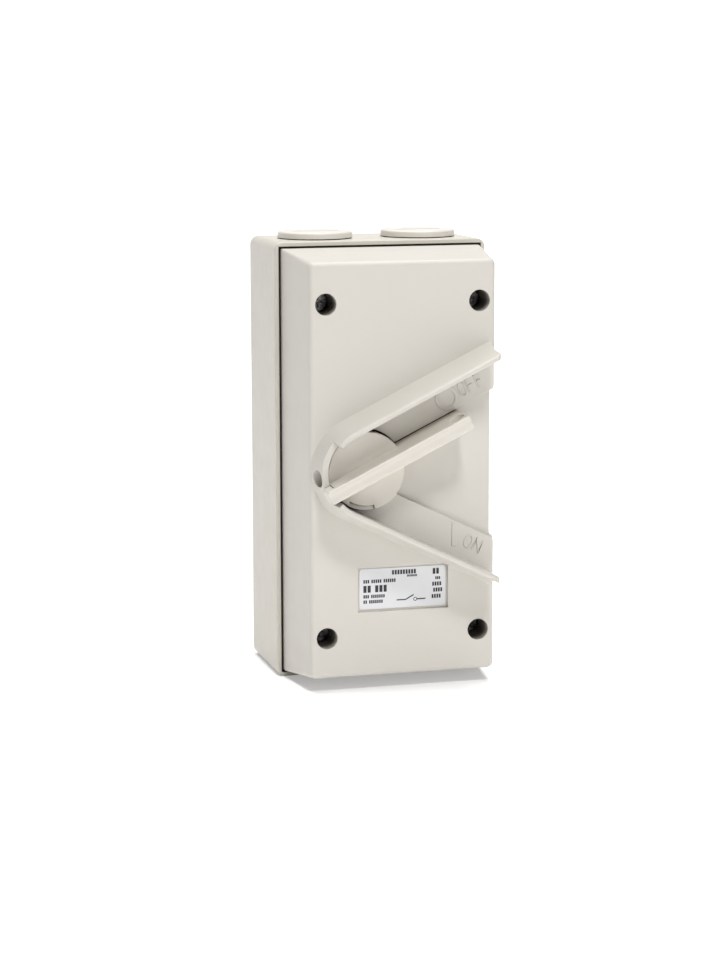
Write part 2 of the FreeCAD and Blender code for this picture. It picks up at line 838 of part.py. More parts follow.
def make_handle():
    """Drum, lever and shaft in one moulding, in its own frame: X along the lever, Z across it."""
    body = new_body("handle_body")
    drum = circle(new_sketch(body, "drum", dim.drum_back), dim.drum_radius)
    pad(body, drum, dim.drum_front - dim.drum_back)
    front = dim.drum_front.value

    ledge = new_sketch(body, "rim_ledge", dim.drum_front)
    start, end = math.radians(214), math.radians(256)
    inner, outer = dim.ledge_radius, dim.drum_radius + 2
    ends = [(inner, start), (inner, end), (outer, end), (outer, start)]
    arcs = {0: (inner, -1), 2: (outer, 1)}
    outline(ledge, [(radius * math.cos(angle), radius * math.sin(angle)) for radius, angle in ends], arcs)
    pocket(body, ledge, dim.ledge_depth)

    fillet(body, "drum_edge", lambda middle, span, edge: abs(middle.y + front) < 0.01, 0.45)

    bar = new_sketch(body, "lever_bar", dim.lever_back)
    tip, turn = dim.lever_tip, dim.lever_corner
    spread = (dim.lever_front - dim.lever_back) * sine(dim.lever_draft) / cosine(dim.lever_draft)
    foot = dim.lever_half + spread
    end = -dim.lever_tail
    outline(
        bar,
        [
            (end + turn, -foot),
            (tip - turn, -foot),
            (tip, -foot + turn),
            (tip, foot - turn),
            (tip - turn, foot),
            (end + turn, foot),
            (end, foot - turn),
            (end, -foot + turn),
        ],
        {side: (turn, -1) for side in (1, 3, 5, 7)},
    )
    pad(body, bar, dim.lever_front - dim.lever_back, taper=-dim.lever_draft)

    def on_top(middle, span, edge):
        return abs(middle.y + dim.lever_front.value) < 0.01

    fillet(body, "lever_edges", on_top, dim.lever_edge)

    groove = new_sketch(body, "lever_groove", -dim.lever_tail - 1, "YZ_Plane")
    circle(groove, dim.groove_radius, -(dim.lever_front + dim.groove_radius - dim.groove_depth), 0)
    pocket(body, groove, dim.lever_tail + dim.lever_tip + 2, reverse=True)

    def beside_groove(middle, span, edge):
        return on_top(middle, span, edge) and abs(span.x) > dim.lever_tip.value

    fillet(body, "groove_edges", beside_groove, dim.groove_edge)

    tail = new_sketch(body, "tail_relief", dim.tail_back)
    near = dim.drum_radius + 0.3
    rectangle(tail, -dim.lever_tail - 1, -near, -4, 4)
    pocket(body, tail, dim.tail_back - dim.lever_back + 1)
    slit = new_sketch(body, "tail_slit", 0, "XY_Plane")
    rectangle(slit, -near - dim.tail_slit, -near, -dim.tail_slit_front, -dim.tail_back + 0.5)
    pocket(body, slit, 12, midplane=True)

    hole = new_sketch(body, "lever_hole", 0, "XY_Plane")
    circle(hole, dim.lever_hole, dim.lever_hole_u, -dim.lever_hole_depth)
    pocket(body, hole, 12, midplane=True)

    shaft = circle(new_sketch(body, "handle_shaft", dim.drum_back + 0.5), dim.shaft_radius)
    pad(body, shaft, dim.drum_back + 0.5 - dim.shaft_end, reverse=True)
    for name, radius, back, width in (
        ("seal_groove", dim.seal_groove, dim.seal_depth - 0.95, 1.9),
        ("clip_groove", dim.clip_groove, dim.clip_depth - 0.05, dim.clip_thickness + 0.1),
    ):
        channel = new_sketch(body, name, back)
        circle(channel, dim.shaft_radius + 1)
        circle(channel, radius)
        pocket(body, channel, width, reverse=True)
    slot = new_sketch(body, "drive_slot", dim.shaft_end)
    half = dim.tongue_width / 2 + 0.15
    rectangle(slot, -half, half, -8, 8)
    pocket(body, slot, dim.tongue_front - dim.shaft_end + 0.3, reverse=True)

    place(body, dim.drum_x, 0, dim.drum_z, Rotation(Vector(0, -1, 0), dim.arm_angle.value))
    bind(body, "Placement.Rotation.Angle", dim.arm_angle)
    return keep(body, "operating_handle")


def make_handle_fittings():
    """Shaft seal, thrust washer and the clip that holds the handle in the cover."""
    x, z = dim.drum_x, dim.drum_z
    turned = Rotation(Vector(1, 0, 0), 90)
    seal_radius = (dim.shaft_bore + dim.seal_groove) / 2
    seal = ring("shaft_seal", seal_radius, dim.seal_section, x, -dim.seal_depth, z, turned)
    keep(seal, "handle_shaft_seal")
    back, front = dim.clip_depth, dim.clip_depth + dim.clip_thickness
    washer_back = front + 0.05
    blank = rod("washer_blank", 8.6, x, z, washer_back, dim.hub_back)
    hole = rod("washer_hole", 6.06, x, z, washer_back, dim.hub_back)
    keep(cut("washer", blank, [hole]), "handle_thrust_washer")
    blank = rod("clip_blank", 8.2, x, z, back, front)
    opening = box("clip_opening", x, x + 10, back, front, z - 3.2, z + 3.2)
    hole = rod("clip_hole", dim.clip_groove + 0.05, x, z, back, front)
    keep(cut("clip", blank, [hole, opening]), "handle_retaining_clip")


# ---------------------------------------------------------------- switch


def switch_box(name, width, height, back, front):
    """A block centred on the switch's axis."""
    x, z = dim.drum_x, dim.drum_z
    return box(name, x - width / 2, x + width / 2, back, front, z - height / 2, z + height / 2)


def switch_rod(name, radius, back, front, x=0, z=0):
    """A cylinder placed from the switch's axis."""
    return rod(name, radius, dim.drum_x + x, dim.drum_z + z, back, front)


def turned_box(name, width, height, back, front, angle):
    """A block centred on the switch's axis and turned anticlockwise, seen from the front."""
    item = doc.addObject("Part::Box", name)
    bind(item, "Length", width)
    bind(item, "Width", as_size(front) - back)
    bind(item, "Height", height)
    about = Rotation(Vector(0, -1, 0), as_size(angle).value)
    corner = about.multVec(Vector(-as_size(width).value / 2, 0, -as_size(height).value / 2))
    item.Placement = Placement(
        Vector(dim.drum_x.value + corner.x, -as_size(front).value, dim.drum_z.value + corner.z), about
    )
    return item


def stack_holes(name, radius, back, front):
    return [
        switch_rod(f"{name}_hole_{number}", radius, back, front, x, z)
        for number, (x, z) in enumerate(corners(dim.stack_screw_x, dim.stack_screw_z), start=1)
    ]


def make_carrier():
    """The plate that carries the switch, on stands in the base."""
    back, front = dim.carrier_back, dim.carrier_back + dim.carrier_thickness
    plate = switch_box("carrier_plate", dim.stack_width, dim.carrier_height, back, front)
    tools = stack_holes("carrier_stack", 1.4, back, front)
    tools.append(switch_rod("carrier_shaft_hole", dim.shaft_hole, back, front))
    places = list(enumerate(corners(dim.carrier_screw_x, dim.carrier_screw_z), start=1))
    tools += [switch_rod(f"carrier_hole_{number}", 1.8, back, front, x, z) for number, (x, z) in places]
    keep(cut("carrier", plate, tools), "switch_carrier")
    screws = [
        pan_screw(f"carrier_screw_{number}", dim.drum_x + x, dim.drum_z + z, front, 2.3, 1.8, 1.45, 1.6)
        for number, (x, z) in places
    ]
    group("carrier_screws", screws)


def contact_block(name, sign, low_x, high_x, near, far, back, front, gap=0):
    """A block of a contact strip, from `near` to `far` of the switch's axis, above it or below it."""
    x, z = dim.drum_x, dim.drum_z
    low, high = (near, far) if sign > 0 else (-as_size(far), -as_size(near))
    return box(name, x + low_x - gap, x + high_x + gap, back, front, z + low - gap, z + high + gap)


def make_contact(number, side, sign, back, front):
    """One fixed contact with its clamp plate and screw, and the cutters for its slot in the wafer."""
    name = f"{side}_{number}"
    half, tip_half = dim.strip_width / 2, as_size(3)
    shift = (number - 2) * dim.pole_pitch
    left = shift - half if number == 1 else (-half if number == 2 else -tip_half)
    right = shift + half if number == 3 else (half if number == 2 else tip_half)
    link, link_end, wafer_end = dim.strip_link, dim.strip_link_end, dim.stack_height / 2 + 3
    blocks = [
        contact_block(f"{name}_tip", sign, -tip_half, tip_half, dim.strip_tip, link + 2, back, front),
        contact_block(f"{name}_link", sign, left, right, link, link_end, back, front),
        contact_block(f"{name}_tail", sign, shift - half, shift + half, link, dim.strip_end, back, front),
    ]
    gap = dim.strip_slot_clearance
    low_x, high_x = shift - half, shift + half
    slots = [
        contact_block(f"{name}_tip_slot", sign, -tip_half, tip_half, link - 2, link + 2, back, front, gap),
        contact_block(f"{name}_link_slot", sign, left, right, link, link_end, back, front, gap),
        contact_block(f"{name}_tail_slot", sign, low_x, high_x, link, wafer_end, back, front, gap),
    ]
    x, z = dim.drum_x + shift, dim.drum_z + sign * dim.terminal_z
    hole = rod(f"{name}_hole", dim.terminal_hole, x, z, back, front)
    keep(cut(name, fuse(f"{name}_blank", blocks), [hole]), f"{side}_contact_{number}")
    reach, clamp_front = dim.clamp_half, front + dim.clamp_thickness
    plate = box(f"{name}_clamp_blank", x - reach, x + reach, front, clamp_front, z - reach, z + reach)
    clamp_hole = rod(f"{name}_clamp_hole", dim.terminal_hole, x, z, front, clamp_front)
    clamp = cut(f"{name}_clamp", plate, [clamp_hole])
    screw = pan_screw(f"{name}_screw", x, z, clamp_front, 3.2, 2.2, 1.75, front - 5.5)
    return clamp, screw, slots


def make_pole(number):
    """One pole: an insulating wafer, its rotor and bridging blade, and a fixed contact at each end."""
    back = dim.carrier_back + dim.carrier_thickness + (number - 1) * dim.wafer_thickness
    front = back + dim.wafer_thickness
    wafer = switch_box(f"wafer_{number}_blank", dim.stack_width, dim.stack_height, back, front)
    tools = stack_holes(f"wafer_{number}", dim.stack_hole, back, front)
    tools.append(switch_rod(f"wafer_{number}_shaft_hole", dim.shaft_hole, back, front))
    tools.append(switch_rod(f"wafer_{number}_chamber", dim.chamber_radius, back + dim.wafer_floor, front))
    clamps, screws = [], []
    for side, sign in (("line", 1), ("load", -1)):
        clamp, screw, slots = make_contact(number, side, sign, front - dim.strip_thickness, front)
        clamps.append(clamp)
        screws.append(screw)
        tools += slots
    keep(cut(f"wafer_{number}", wafer, tools), f"pole_wafer_{number}")

    rotor_back = back + dim.wafer_floor + dim.rotor_lift
    rotor_front = rotor_back + dim.rotor_height
    square = dim.shaft_side + 0.1
    blank = switch_rod(f"rotor_{number}_blank", dim.rotor_radius, rotor_back, rotor_front)
    socket = switch_box(f"rotor_{number}_socket", square, square, rotor_back, rotor_front)
    keep(cut(f"rotor_{number}_cut", blank, [socket]), f"rotor_{number}")

    blade_front = rotor_front + dim.blade_thickness
    hub = switch_rod(f"blade_{number}_hub", 8.0, rotor_front, blade_front)
    size = (dim.blade_width, 2 * dim.blade_reach)
    arm = turned_box(f"blade_{number}_arm", *size, rotor_front, blade_front, dim.switch_travel)
    opening = switch_box(f"blade_{number}_opening", square, square, rotor_front, blade_front)
    blade = cut(f"blade_{number}", fuse(f"blade_{number}_blank", [hub, arm]), [opening])
    keep(blade, f"moving_contact_{number}")
    return clamps, screws


def make_mechanism():
    """Detent housing, cam and leaf springs on top of the poles, and the shaft through them all."""
    back = dim.carrier_back + dim.carrier_thickness + 3 * dim.wafer_thickness
    front = back + dim.mechanism_height
    lid_front = front + dim.lid_thickness
    leaf = dim.cam_radius + dim.detent_gap
    leaf_end = leaf + dim.detent_thickness

    housing = switch_box("housing_blank", dim.stack_width, dim.stack_height, back, front)
    tools = stack_holes("housing", dim.stack_hole, back, front)
    tools.append(switch_rod("housing_shaft_hole", dim.shaft_hole, back, front))
    tools.append(switch_box("housing_pocket", 2 * (leaf_end + 0.1), 30, back + dim.wafer_floor, front))
    keep(cut("housing", housing, tools), "detent_housing")

    cam_back, cam_front = back + dim.wafer_floor + 0.3, front - 0.4
    width, height = 2 * dim.cam_flat, 30
    flats = switch_box("cam_flats", width, height, cam_back, cam_front)
    turned_flats = turned_box("cam_turned_flats", width, height, cam_back, cam_front, dim.switch_travel)
    blank = doc.addObject("Part::MultiCommon", "cam_blank")
    blank.Shapes = [switch_rod("cam_round", dim.cam_radius, cam_back, cam_front), flats, turned_flats]
    square = dim.shaft_side + 0.1
    socket = switch_box("cam_socket", square, square, cam_back, cam_front)
    keep(cut("cam", blank, [socket]), "detent_cam")

    x, z = dim.drum_x, dim.drum_z
    for name, sign in (("left", -1), ("right", 1)):
        low, high = (leaf, leaf_end) if sign > 0 else (-leaf_end, -leaf)
        strip = box(f"detent_{name}", x + low, x + high, cam_back, cam_front, z - 14.8, z + 14.8)
        keep(strip, f"detent_spring_{name}")

    lid = switch_box("lid_blank", dim.stack_width, dim.stack_height, front, lid_front)
    tools = stack_holes("lid", dim.stack_hole, front, lid_front)
    tools.append(switch_rod("lid_shaft_hole", dim.shaft_hole, front, lid_front))
    keep(cut("lid", lid, tools), "mechanism_lid")
    group("stack_screws", [
        pan_screw(f"stack_screw_{number}", x + sx, z + sz, lid_front, 2.4, 1.5, 1.35, dim.carrier_back)
        for number, (sx, sz) in enumerate(corners(dim.stack_screw_x, dim.stack_screw_z), start=1)
    ])

    side, shaft_back = dim.shaft_side, dim.carrier_back + 0.4
    square_shaft = switch_box("shaft_square", side, side, shaft_back, lid_front + 0.6)
    size = (dim.tongue_width, dim.tongue_length)
    tongue = turned_box("shaft_tongue", *size, lid_front, dim.tongue_front, dim.arm_angle)
    keep(fuse("shaft", [square_shaft, tongue]), "drive_shaft")


# ---------------------------------------------------------------- neutral and earth


def bar_screw_z():
    return dim.bar_gap / 2 + dim.bar_length + 4


def make_bar(name, sign, front):
    """One brass bar with its cross holes, and the slotted screws that clamp the wires in them."""
    x, half = dim.bar_x, dim.bar_side / 2
    middle = dim.bar_back + half
    near, far = dim.bar_gap / 2, dim.bar_gap / 2 + dim.bar_length
    low, high = (near, far) if sign > 0 else (-far, -near)
    blank = box(f"{name}_blank", x - half, x + half, dim.bar_back, front, low, high)
    tools, screws = [], []
    for number in range(1, 5):
        level = sign * (near + dim.bar_length / 2 + (number - 2.5) * dim.bar_pitch)
        left, right = x - half - 1, x + half + 1
        tools.append(crossbar(f"{name}_wire_{number}", dim.wire_hole, middle, level, left, right))
        tools.append(rod(f"{name}_thread_{number}", 1.6, x, level, middle, front + 1))
        stud = rod(f"{name}_screw_{number}_blank", 1.58, x, level, middle + 1, front + 1.4)
        low_z, high_z = level - 0.25, level + 0.25
        slot = box(f"{name}_screw_{number}_slot", x - 2, x + 2, front + 0.6, front + 2, low_z, high_z)
        screws.append(cut(f"{name}_screw_{number}", stud, [slot]))
    keep(cut(f"{name}_cut", blank, tools), name)
    return screws


def make_terminal_bars():
    """Two brass bars on an insulating stand, beside the switch."""
    x, half = dim.bar_x, dim.bar_stand_half
    back, front = dim.back_wall, dim.bar_back
    end = bar_screw_z() + 4
    stand = box("stand_blank", x - half, x + half, back, front, -end, end)
    levels = {"lower": -bar_screw_z(), "upper": bar_screw_z()}
    holes = [rod(f"stand_hole_{side}", 1.8, x, level, back, front) for side, level in levels.items()]
    keep(cut("stand", stand, holes), "terminal_bar_stand")
    group("terminal_bar_stand_screws", [
        pan_screw(f"stand_screw_{side}", x, level, front, 2.6, 1.8, 1.45, 1.6)
        for side, level in levels.items()
    ])
    bar_front = dim.bar_back + dim.bar_side
    screws = make_bar("neutral_bar", 1, bar_front) + make_bar("earth_bar", -1, bar_front)
    group("bar_clamp_screws", screws)


def make_assembly():
    make_base()
    make_cover()
    make_gasket()
    make_cover_screws()
    make_plugs()
    make_label()
    make_handle()
    make_handle_fittings()
    make_carrier()
    clamps, screws = [], []
    for number in (1, 2, 3):
        pole_clamps, pole_screws = make_pole(number)
        clamps += pole_clamps
        screws += pole_screws
    group("terminal_clamps", clamps)
    group("terminal_screws", screws)
    make_mechanism()
    make_terminal_bars()


def check_model():
    """Stop if an object failed or a sub-part isn't a sound solid."""
    doc.recompute()
    failed = [item.Label for item in doc.Objects if {"Invalid", "Error"} & set(item.State)]
    if failed:
        raise RuntimeError(f"these objects failed: {failed}")
    for item in subparts:
        shape = item.Shape
        if shape.isNull() or not shape.isValid() or not shape.Solids:
            raise RuntimeError(f"{item.Label} isn't a sound solid")


def write_parts():
    os.makedirs("parts", exist_ok=True)
    for item in subparts:
        item.Shape.exportStep(f"parts/{item.Label}.step")


make_assembly()
check_model()
write_parts()
print(f"{len(subparts)} sub-parts")
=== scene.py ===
"""Looks of a rotary isolator switch: materials, legends, label print, stage, light and camera.

Every size is in metres in the CAD frame: X to the right, Z up, and the wall at Y = 0 behind the switch.
Depth means distance out of the wall, so a point at depth d has Y = -d.
"""

import math

import bmesh
import bpy
from mathutils import Matrix, Vector


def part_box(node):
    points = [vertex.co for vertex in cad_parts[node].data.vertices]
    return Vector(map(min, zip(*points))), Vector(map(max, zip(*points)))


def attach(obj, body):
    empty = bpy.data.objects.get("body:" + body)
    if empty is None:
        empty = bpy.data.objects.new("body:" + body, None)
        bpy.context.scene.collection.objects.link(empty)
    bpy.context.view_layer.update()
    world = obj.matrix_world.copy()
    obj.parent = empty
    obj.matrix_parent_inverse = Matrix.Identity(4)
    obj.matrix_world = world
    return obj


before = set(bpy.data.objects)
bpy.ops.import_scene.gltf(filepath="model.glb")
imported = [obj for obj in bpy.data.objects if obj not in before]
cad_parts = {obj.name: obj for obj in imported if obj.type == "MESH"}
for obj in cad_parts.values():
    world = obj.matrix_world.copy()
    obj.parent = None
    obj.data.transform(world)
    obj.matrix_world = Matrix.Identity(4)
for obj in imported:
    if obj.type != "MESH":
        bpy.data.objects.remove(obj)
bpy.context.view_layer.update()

MM = 0.001

# ---------------------------------------------------------------- places read from the frame

LABEL_LOW, LABEL_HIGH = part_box("rating_label")
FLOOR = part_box("base_enclosure")[0].z  # the level that the switch stands on

# ---------------------------------------------------------------- driving dimensions

FACE_DEPTH = 70 * MM  # depth of the cover's front face, where the legends stand
LEGEND_ROOT = 0.1 * MM  # how far the legends reach into the face
LEGEND_RISE = 0.3 * MM  # height of the legends above the face
LEGEND_EDGE = 0.05 * MM  # bevel on the letters
MARK_EDGE = 0.08 * MM  # bevel on the ring and the bar
ARM_ANGLE = math.radians(26)  # slope of the guard's two arms
INK_ROOT = 0.01 * MM  # how far the print reaches into the label
INK_RISE = 0.02 * MM  # height of the print above the label
PAINTED_SHADE_REACH = 12 * MM  # how near two walls stand where shade is painted between them
PAINTED_SHADE_SHARE = (0.14, 0.12, 0.10)  # colour left where shade is painted into crevices, for red, green and blue


# ---------------------------------------------------------------- materials


class Recipe:
    """A node material under construction: a Principled shader and the nodes that feed it."""

    def __init__(self, name, **sockets):
        self.material = bpy.data.materials.new(name)
        self.material.use_nodes = True
        self.tree = self.material.node_tree
        self.tree.nodes.clear()
        self.shader = self.node("BsdfPrincipled", **sockets)
        output = self.node("OutputMaterial")
        self.link(self.shader.outputs["BSDF"], output.inputs["Surface"])
        self.place = self.node("TexCoord").outputs["Object"]

    def node(self, kind, settings=None, **sockets):
        """Add a shader node, with its settings and the values of its sockets."""
        made = self.tree.nodes.new("ShaderNode" + kind)
        for key, value in (settings or {}).items():
            setattr(made, key, value)
        for key, value in sockets.items():
            made.inputs[key.replace("_", " ")].default_value = value
        return made

    def link(self, source, target):
        self.tree.links.new(source, target)

    def noise(self, size, detail=2.0, stretch=(1, 1, 1)):
        """Noise whose features are about `size` across, from 0 to 1."""
        scale = self.node("Mapping", Scale=stretch)
        self.link(self.place, scale.inputs["Vector"])
        noise = self.node("TexNoise", Scale=1 / size, Detail=detail)
        self.link(scale.outputs["Vector"], noise.inputs["Vector"])
        return noise.outputs["Fac"]

    def spread(self, source, low, high, start=0.3, end=0.7):
        """Map a factor from start-end onto low-high."""
        made = self.node("MapRange")
        values = {"From Min": start, "From Max": end, "To Min": low, "To Max": high}
        for key, value in values.items():
            made.inputs[key].default_value = value
        self.link(source, made.inputs["Value"])
        return made.outputs["Result"]

    def blend(self, factor, first, second):
        """Mix two colours, or two outputs that carry colours."""
        made = self.node("Mix", {"data_type": "RGBA"})
        self.link(factor, made.inputs["Factor"])
        for name, colour in (("A", first), ("B", second)):
            socket = next(s for s in made.inputs if s.name == name and s.type == "RGBA")
            if isinstance(colour, tuple):
                socket.default_value = (*colour, 1)
            else:
                self.link(colour, socket)
        return next(s for s in made.outputs if s.type == "RGBA")

    def soft_edges(self, radius):
        """A normal that rounds sharp edges off, and a mask that is 1 on those edges."""
        rounded = self.node("Bevel", {"samples": 6}, Radius=radius)
        plain = self.node("NewGeometry")
        turn = self.node("VectorMath", {"operation": "DOT_PRODUCT"})
        self.link(rounded.outputs["Normal"], turn.inputs[0])
        self.link(plain.outputs["Normal"], turn.inputs[1])
        mask = self.spread(turn.outputs["Value"], 1, 0, start=0.75, end=0.99)
        return rounded.outputs["Normal"], mask

    def relief(self, heights, normal=None):
        """Bump from a list of (height factor, depth in metres), one on top of the other."""
        for height, depth in heights:
            bump = self.node("Bump", Distance=depth, Strength=1.0)
            self.link(height, bump.inputs["Height"])
            if normal is not None:
                self.link(normal, bump.inputs["Normal"])
            normal = bump.outputs["Normal"]
        self.link(normal, self.shader.inputs["Normal"])

    def crevices(self, reach):
        """A factor that is 0 on open surfaces and 1 deep inside holes and gaps."""
        shut_in = self.node("AmbientOcclusion", {"samples": 8}, Distance=reach)
        return self.spread(shut_in.outputs["AO"], 1, 0, start=0.08, end=0.42)

    def feed(self, socket, source):
        self.link(source, self.shader.inputs[socket])


def moulded_plastic(name, colour, edge_highlight, roughness=0.42, grain=0.25 * MM, edge=0.35 * MM):
    """Satin moulded plastic: faint mottling, a fine grain, painted highlights along its edges and painted
    shade deep in its crevices.
    """
    made = Recipe(name, IOR=1.5, Specular_IOR_Level=0.5)
    normal, edge_mask = made.soft_edges(edge)
    mottled = made.blend(made.noise(22 * MM, 3), tuple(0.972 * c for c in colour), colour)
    # painted highlight: sharp edges are mixed to a lighter colour
    unshaded = made.blend(edge_mask, mottled, edge_highlight)
    shaded = tuple(share * c for share, c in zip(PAINTED_SHADE_SHARE, colour))
    # painted shade: the colour darkens deep in crevices and gaps, where the ambient occlusion is low
    made.feed("Base Color", made.blend(made.crevices(PAINTED_SHADE_REACH), unshaded, shaded))
    made.feed("Roughness", made.spread(made.noise(6 * MM, 4), roughness - 0.05, roughness + 0.06))
    made.relief([(made.noise(grain, 2), 0.006 * MM), (made.noise(14 * MM, 1), 0.04 * MM)], normal)
    return made.material


# The second colour of each plastic is the painted highlight on its edges.
def base_plastic():
    return moulded_plastic("base_plastic", (0.612, 0.580, 0.512), (0.76, 0.73, 0.67))


def cover_plastic():
    return moulded_plastic("cover_plastic", (0.640, 0.610, 0.556), (0.80, 0.77, 0.71))


def handle_plastic():
    colour, edge_highlight = (0.705, 0.665, 0.600), (0.80, 0.77, 0.71)
    return moulded_plastic("handle_plastic", colour, edge_highlight, 0.40, edge=0.15 * MM)


def plug_plastic():
    return moulded_plastic("plug_plastic", (0.730, 0.695, 0.640), (0.78, 0.75, 0.69), 0.40)


def label_film():
    """Smooth printed film with a weak sheen and a slight waviness."""
    made = Recipe("label_film", IOR=1.5, Coat_Weight=0.25, Coat_Roughness=0.2)
    tone = made.blend(made.noise(9 * MM, 3), (0.70, 0.70, 0.715), (0.735, 0.735, 0.75))
    made.feed("Base Color", tone)
    made.feed("Roughness", made.spread(made.noise(3 * MM), 0.32, 0.42))
    made.relief([(made.noise(6 * MM, 1), 0.02 * MM)])
    return made.material


def print_ink():
    """Black printing ink, a little uneven."""
    made = Recipe("print_ink", IOR=1.45)
    dark, light = (0.018, 0.018, 0.020), (0.045, 0.045, 0.048)
    made.feed("Base Color", made.blend(made.noise(0.4 * MM, 3), dark, light))
    made.feed("Roughness", made.spread(made.noise(1 * MM), 0.45, 0.6))
    made.relief([(made.noise(0.3 * MM), 0.004 * MM)])
    return made.material


def rubber(name, dark, light):
    """Matt rubber with a fine bloom."""
    made = Recipe(name, IOR=1.5)
    made.feed("Base Color", made.blend(made.noise(2.5 * MM, 5), dark, light))
    made.feed("Roughness", made.spread(made.noise(0.8 * MM, 4), 0.72, 0.9))
    made.relief([(made.noise(0.2 * MM, 3), 0.01 * MM)])
    return made.material


def metal(name, dark, light, roughness, brushed=(1, 1, 1)):
    """Plated or drawn metal: streaked finish, fine scratches and brighter edges."""
    made = Recipe(name, Metallic=1.0)
    normal, edge_mask = made.soft_edges(0.12 * MM)
    streaks = made.noise(0.7 * MM, 5, brushed)
    bright = tuple(min(1, 1.15 * c) for c in light)
    made.feed("Base Color", made.blend(edge_mask, made.blend(streaks, dark, light), bright))
    made.feed("Roughness", made.spread(streaks, roughness - 0.08, roughness + 0.12))
    made.relief([(made.noise(0.15 * MM, 4, brushed), 0.004 * MM)], normal)
    return made.material


def glassy_moulding(name, dark, light, roughness):
    """Glass-filled insulating moulding, with the flow marks and speckle of its fibres."""
    made = Recipe(name, IOR=1.52)
    normal, edge_mask = made.soft_edges(0.2 * MM)
    flow = made.blend(made.noise(5 * MM, 4, (1, 1, 3)), dark, light)
    bright = tuple(min(1, 1.5 * c + 0.02) for c in light)
    made.feed("Base Color", made.blend(edge_mask, flow, bright))
    made.feed("Roughness", made.spread(made.noise(0.5 * MM, 4), roughness - 0.08, roughness + 0.1))
    made.relief([(made.noise(0.3 * MM, 3), 0.01 * MM)], normal)
    return made.material


FINISHES = {
    "base_plastic": base_plastic(),
    "cover_plastic": cover_plastic(),
    "handle_plastic": handle_plastic(),
    "plug_plastic": plug_plastic(),
    "label_film": label_film(),
    "seal_rubber": rubber("seal_rubber", (0.060, 0.055, 0.048), (0.095, 0.088, 0.078)),
    "screw_steel": metal("screw_steel", (0.10, 0.095, 0.09), (0.30, 0.29, 0.28), 0.20),
    "brass_parts": metal("brass_parts", (0.68, 0.50, 0.22), (0.83, 0.64, 0.32), 0.30, (1, 1, 8)),
    "washer_plastic": glassy_moulding("washer_plastic", (0.72, 0.70, 0.66), (0.80, 0.79, 0.75), 0.5),
    "spring_steel": metal("spring_steel", (0.42, 0.42, 0.44), (0.60, 0.60, 0.62), 0.28, (1, 6, 1)),
    "switch_moulding": glassy_moulding("switch_moulding", (0.03, 0.031, 0.034), (0.06, 0.062, 0.066), 0.48),
    "rotor_moulding": glassy_moulding("rotor_moulding", (0.62, 0.58, 0.49), (0.70, 0.66, 0.57), 0.46),
    "contact_copper": metal("contact_copper", (0.72, 0.36, 0.22), (0.86, 0.50, 0.34), 0.27, (6, 1, 1)),
}
INK = print_ink()


def finish_nodes():
    """Give every CAD node the finish of its material slot."""
    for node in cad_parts.values():
        for slot in node.material_slots:
            slot.material = FINISHES[slot.material.name.split(".")[0]]


# ---------------------------------------------------------------- pieces built here


def piece(name, mesh, material, body):
    """Put a mesh in the scene as a piece that rides on a body."""
    made = bpy.data.objects.new(name, mesh)
    bpy.context.scene.collection.objects.link(made)
    made.data.materials.append(material)
    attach(made, body)


def ribbon(shape, points, width, back, front, closed=False):
    """Add a flat stroke along points in the X-Z plane, from depth `back` to depth `front`."""
    count = len(points)
    sides = []
    for index, point in enumerate(points):
        before = points[index - 1] if closed or index else point
        after = points[(index + 1) % count] if closed or index < count - 1 else point
        along = (after - before).normalized()
        across = Vector((-along.y, along.x))
        if before is not point and after is not point:
            lean = max(0.5, across.dot(Vector((-(after - point).y, (after - point).x)).normalized()))
            across = across / lean
        sides.append((point + across * width / 2, point - across * width / 2))
    rings = []
    for left, right in sides:
        corners = [(left, back), (left, front), (right, front), (right, back)]
        rings.append([shape.verts.new((spot.x, -depth, spot.y)) for spot, depth in corners])
    spans = count if closed else count - 1
    for index in range(spans):
        here, there = rings[index], rings[(index + 1) % count]
        for side in range(4):
            shape.faces.new((here[side], here[(side + 1) % 4], there[(side + 1) % 4], there[side]))
    if not closed:
        shape.faces.new(rings[0][::-1])
        shape.faces.new(rings[-1])


def arc(centre, radius_x, radius_z, start, end, steps):
    """Points along an ellipse's arc, in degrees anticlockwise from +X."""
    span = [math.radians(start + (end - start) * step / steps) for step in range(steps + 1)]
    return [Vector((centre[0] + radius_x * math.cos(a), centre[1] + radius_z * math.sin(a))) for a in span]


def finished_mesh(name, shape, edge):
    """Close a bmesh into a mesh whose outward edges have a small bevel."""
    bmesh.ops.recalc_face_normals(shape, faces=shape.faces)
    sharp = [e for e in shape.edges if len(e.link_faces) == 2 and e.calc_face_angle() > math.radians(50)]
    bmesh.ops.bevel(shape, geom=sharp, offset=edge, segments=2, profile=0.5, affect="EDGES")
    mesh = bpy.data.meshes.new(name)
    shape.to_mesh(mesh)
    shape.free()
    return mesh


def letter_strokes(letter, width, height):
    """The strokes of an O, F or N from its lower left corner: the points of each, and if it closes."""
    if letter == "O":
        middle = (width / 2, height / 2)
        return [(arc(middle, width / 2, height / 2, 0, 360, 28)[:-1], True)]
    low, high = Vector((0, 0)), Vector((0, height))
    if letter == "F":
        upper_bar = [high, Vector((width, height))]
        middle = 0.52 * height
        lower_bar = [Vector((0, middle)), Vector((0.8 * width, middle))]
        return [([low, high], False), (upper_bar, False), (lower_bar, False)]
    return [([low, high, Vector((width, 0)), Vector((width, height))], False)]


def raised_stroke(shape, points, width, closed=False):
    """Add a stroke that stands on the cover's face."""
    ribbon(shape, points, width, FACE_DEPTH - LEGEND_ROOT, FACE_DEPTH + LEGEND_RISE, closed)


def raised_piece(name, shape, edge):
    """Finish a shape of raised strokes as a piece of the cover."""
    mesh = finished_mesh(name, shape, edge)
    piece(name, mesh, FINISHES["cover_plastic"], "enclosure")


